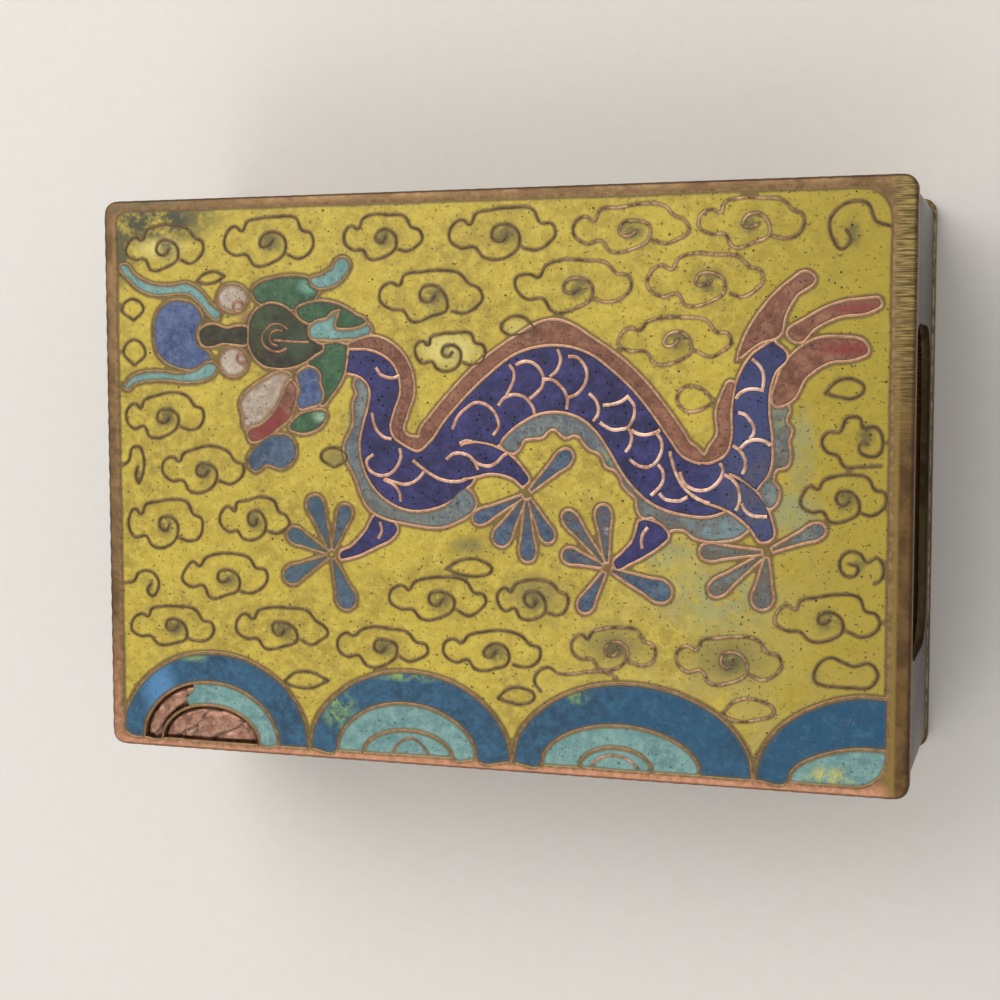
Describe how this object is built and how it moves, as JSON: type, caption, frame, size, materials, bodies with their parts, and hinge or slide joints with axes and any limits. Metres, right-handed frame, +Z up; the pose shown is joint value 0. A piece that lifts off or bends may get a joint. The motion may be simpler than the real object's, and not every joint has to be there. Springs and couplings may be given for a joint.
{
  "type": "cloisonne enamel matchbox cover",
  "caption": "Flat metal sleeve that slides over a pocket box of matches, windowed at its closed end, with an inlaid enamel dragon above waves on its face.",
  "frame": {"origin": "middle of the underside, on the surface it stands on", "axes": "+X towards the closed end with the finger window, +Y towards the back edge above the dragon, +Z up out of the dragon face"},
  "size_m": [0.058, 0.04, 0.018],
  "materials": {
    "copper": "worn copper, filed and tarnished brown",
    "brass": "rubbed brass sheet",
    "yellow_enamel": "opaque enamel, ground flat, pinholed",
    "dark_blue_enamel": "opaque enamel, ground flat, pinholed",
    "slate_enamel": "opaque enamel, cloudy",
    "bright_blue_enamel": "opaque enamel, mottled",
    "blue_enamel": "opaque enamel, cloudy",
    "turquoise_enamel": "opaque enamel",
    "red_enamel": "opaque brick-red enamel",
    "green_enamel": "translucent-looking dark green enamel",
    "olive_enamel": "dark olive enamel",
    "pearl_enamel": "milky pinkish white enamel"
  },
  "bodies": {
    "root": {"beard": "slate_enamel", "body": "dark_blue_enamel", "bottom_plate": "copper", "cheek_tuft": "bright_blue_enamel", "crown": "olive_enamel", "ear": "green_enamel", "eye_lower": "pearl_enamel", "eye_upper": "pearl_enamel", "fin": "red_enamel", "foreleg_far": "dark_blue_enamel", "foreleg_near": "dark_blue_enamel", "ground": "yellow_enamel", "hem_belly": "slate_enamel", "hem_belly_patch_1": "slate_enamel", "hem_chest": "slate_enamel", "hem_tail": "slate_enamel", "hind_leg_far": "dark_blue_enamel", "hind_leg_near": "dark_blue_enamel", "horn": "turquoise_enamel", "horn_tip": "turquoise_enamel", "jaw": "pearl_enamel", "mane_leaf": "green_enamel", "mane_lower": "green_enamel", "mane_upper": "green_enamel", "nose": "bright_blue_enamel", "nose_bridge": "olive_enamel", "paw_1": "slate_enamel", "paw_2": "slate_enamel", "paw_3": "slate_enamel", "paw_4": "slate_enamel", "tail_flame_lower": "red_enamel", "tail_flame_middle": "red_enamel", "tail_flame_upper": "red_enamel", "tongue": "red_enamel", "top_plate": "copper", "under_ground": "yellow_enamel", "under_wave_crest_1": "blue_enamel", "under_wave_crest_2": "blue_enamel", "under_wave_crest_3": "blue_enamel", "under_wave_hollow_1": "turquoise_enamel", "under_wave_hollow_2": "turquoise_enamel", "under_wave_hollow_3": "turquoise_enamel", "walls": "brass", "wave_crest_1": "blue_enamel", "wave_crest_2": "blue_enamel", "wave_crest_3": "blue_enamel", "wave_crest_4": "blue_enamel", "wave_heart_2": "turquoise_enamel", "wave_heart_3": "turquoise_enamel", "wave_hollow_1": "turquoise_enamel", "wave_hollow_2": "turquoise_enamel", "wave_hollow_3": "turquoise_enamel", "wave_hollow_4": "turquoise_enamel", "whisker_lower": "turquoise_enamel", "whisker_upper": "turquoise_enamel"}
  },
  "joints": []
}
